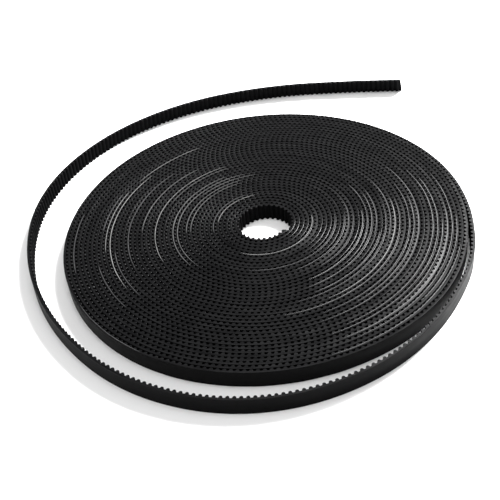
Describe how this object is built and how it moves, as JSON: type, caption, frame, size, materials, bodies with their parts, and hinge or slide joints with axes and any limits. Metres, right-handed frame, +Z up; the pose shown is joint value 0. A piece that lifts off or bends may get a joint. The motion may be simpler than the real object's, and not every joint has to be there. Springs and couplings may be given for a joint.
{
  "type": "timing belt",
  "caption": "Flexible toothed timing belt, open-ended, standing on its edge as a wound flat coil with a free tail curling around it.",
  "frame": {"origin": "centre of the coil's core opening, on the plane the belt's lower edge rests on", "axes": "+Z up across the belt width, +Y away from the viewer, +X to the right"},
  "size_m": [0.1549, 0.1731, 0.006],
  "materials": {
    "back_rubber": "matte",
    "tooth_rubber": "matte",
    "cord": "satin"
  },
  "bodies": {
    "coil": {"coil_back_rubber": "back_rubber", "coil_tooth_rubber": "tooth_rubber", "coil_cord_01": "cord", "coil_cord_02": "cord", "coil_cord_03": "cord", "coil_cord_04": "cord", "coil_cord_05": "cord", "coil_cord_06": "cord", "coil_cord_07": "cord", "coil_cord_08": "cord", "coil_cord_09": "cord", "coil_cord_10": "cord"},
    "tail_01": {"tail_01_back_rubber": "back_rubber", "tail_01_tooth_rubber": "tooth_rubber", "tail_01_cords": "cord"},
    "tail_02": {"tail_02_back_rubber": "back_rubber", "tail_02_tooth_rubber": "tooth_rubber", "tail_02_cords": "cord"},
    "tail_03": {"tail_03_back_rubber": "back_rubber", "tail_03_tooth_rubber": "tooth_rubber", "tail_03_cords": "cord"},
    "tail_04": {"tail_04_back_rubber": "back_rubber", "tail_04_tooth_rubber": "tooth_rubber", "tail_04_cords": "cord"},
    "tail_05": {"tail_05_back_rubber": "back_rubber", "tail_05_tooth_rubber": "tooth_rubber", "tail_05_cords": "cord"},
    "tail_06": {"tail_06_back_rubber": "back_rubber", "tail_06_tooth_rubber": "tooth_rubber", "tail_06_cords": "cord"},
    "tail_07": {"tail_07_back_rubber": "back_rubber", "tail_07_tooth_rubber": "tooth_rubber", "tail_07_cords": "cord"},
    "tail_08": {"tail_08_back_rubber": "back_rubber", "tail_08_tooth_rubber": "tooth_rubber", "tail_08_cords": "cord"},
    "tail_09": {"tail_09_back_rubber": "back_rubber", "tail_09_tooth_rubber": "tooth_rubber", "tail_09_cords": "cord"},
    "tail_10": {"tail_10_back_rubber": "back_rubber", "tail_10_tooth_rubber": "tooth_rubber", "tail_10_cords": "cord"},
    "tail_11": {"tail_11_back_rubber": "back_rubber", "tail_11_tooth_rubber": "tooth_rubber", "tail_11_cords": "cord"},
    "tail_12": {"tail_12_back_rubber": "back_rubber", "tail_12_tooth_rubber": "tooth_rubber", "tail_12_cords": "cord"}
  },
  "joints": [
    {"name": "bend_01", "type": "hinge", "parent": "coil", "child": "tail_01", "pos_m": [0.06991, 0.00731, 0.003], "axis": [0, 0, 1], "range_deg": [0, 24], "stiffness_Nm_per_rad": 0.00005},
    {"name": "bend_02", "type": "hinge", "parent": "tail_01", "child": "tail_02", "pos_m": [0.0646, -0.02993, 0.003], "axis": [0, 0, 1], "range_deg": [0, 24], "stiffness_Nm_per_rad": 0.00005},
    {"name": "bend_03", "type": "hinge", "parent": "tail_02", "child": "tail_03", "pos_m": [0.04269, -0.06056, 0.003], "axis": [0, 0, 1], "range_deg": [0, 24], "stiffness_Nm_per_rad": 0.00005},
    {"name": "bend_04", "type": "hinge", "parent": "tail_03", "child": "tail_04", "pos_m": [0.00904, -0.07731, 0.003], "axis": [0, 0, 1], "range_deg": [0, 24], "stiffness_Nm_per_rad": 0.00005},
    {"name": "bend_05", "type": "hinge", "parent": "tail_04", "child": "tail_05", "pos_m": [-0.02834, -0.07438, 0.003], "axis": [0, 0, 1], "range_deg": [0, 24], "stiffness_Nm_per_rad": 0.00005},
    {"name": "bend_06", "type": "hinge", "parent": "tail_05", "child": "tail_06", "pos_m": [-0.0591, -0.05275, 0.003], "axis": [0, 0, 1], "range_deg": [0, 24], "stiffness_Nm_per_rad": 0.00005},
    {"name": "bend_07", "type": "hinge", "parent": "tail_06", "child": "tail_07", "pos_m": [-0.07801, -0.02004, 0.003], "axis": [0, 0, 1], "range_deg": [0, 24], "stiffness_Nm_per_rad": 0.00005},
    {"name": "bend_08", "type": "hinge", "parent": "tail_07", "child": "tail_08", "pos_m": [-0.08346, 0.01733, 0.003], "axis": [0, 0, 1], "range_deg": [0, 24], "stiffness_Nm_per_rad": 0.00005},
    {"name": "bend_09", "type": "hinge", "parent": "tail_08", "child": "tail_09", "pos_m": [-0.07203, 0.05312, 0.003], "axis": [0, 0, 1], "range_deg": [0, 24], "stiffness_Nm_per_rad": 0.00005},
    {"name": "bend_10", "type": "hinge", "parent": "tail_09", "child": "tail_10", "pos_m": [-0.04502, 0.07938, 0.003], "axis": [0, 0, 1], "range_deg": [0, 24], "stiffness_Nm_per_rad": 0.00005},
    {"name": "bend_11", "type": "hinge", "parent": "tail_10", "child": "tail_11", "pos_m": [-0.00945, 0.09199, 0.003], "axis": [0, 0, 1], "range_deg": [0, 24], "stiffness_Nm_per_rad": 0.00005},
    {"name": "bend_12", "type": "hinge", "parent": "tail_11", "child": "tail_12", "pos_m": [0.02844, 0.09217, 0.003], "axis": [0, 0, 1], "range_deg": [0, 24], "stiffness_Nm_per_rad": 0.00005}
  ],
  "couplings": [
    {"joint": "bend_02", "follows": "bend_01", "ratio": 1},
    {"joint": "bend_03", "follows": "bend_01", "ratio": 1},
    {"joint": "bend_04", "follows": "bend_01", "ratio": 1},
    {"joint": "bend_05", "follows": "bend_01", "ratio": 1},
    {"joint": "bend_06", "follows": "bend_01", "ratio": 1},
    {"joint": "bend_07", "follows": "bend_01", "ratio": 1},
    {"joint": "bend_08", "follows": "bend_01", "ratio": 1},
    {"joint": "bend_09", "follows": "bend_01", "ratio": 1},
    {"joint": "bend_10", "follows": "bend_01", "ratio": 1},
    {"joint": "bend_11", "follows": "bend_01", "ratio": 1},
    {"joint": "bend_12", "follows": "bend_01", "ratio": 1}
  ]
}
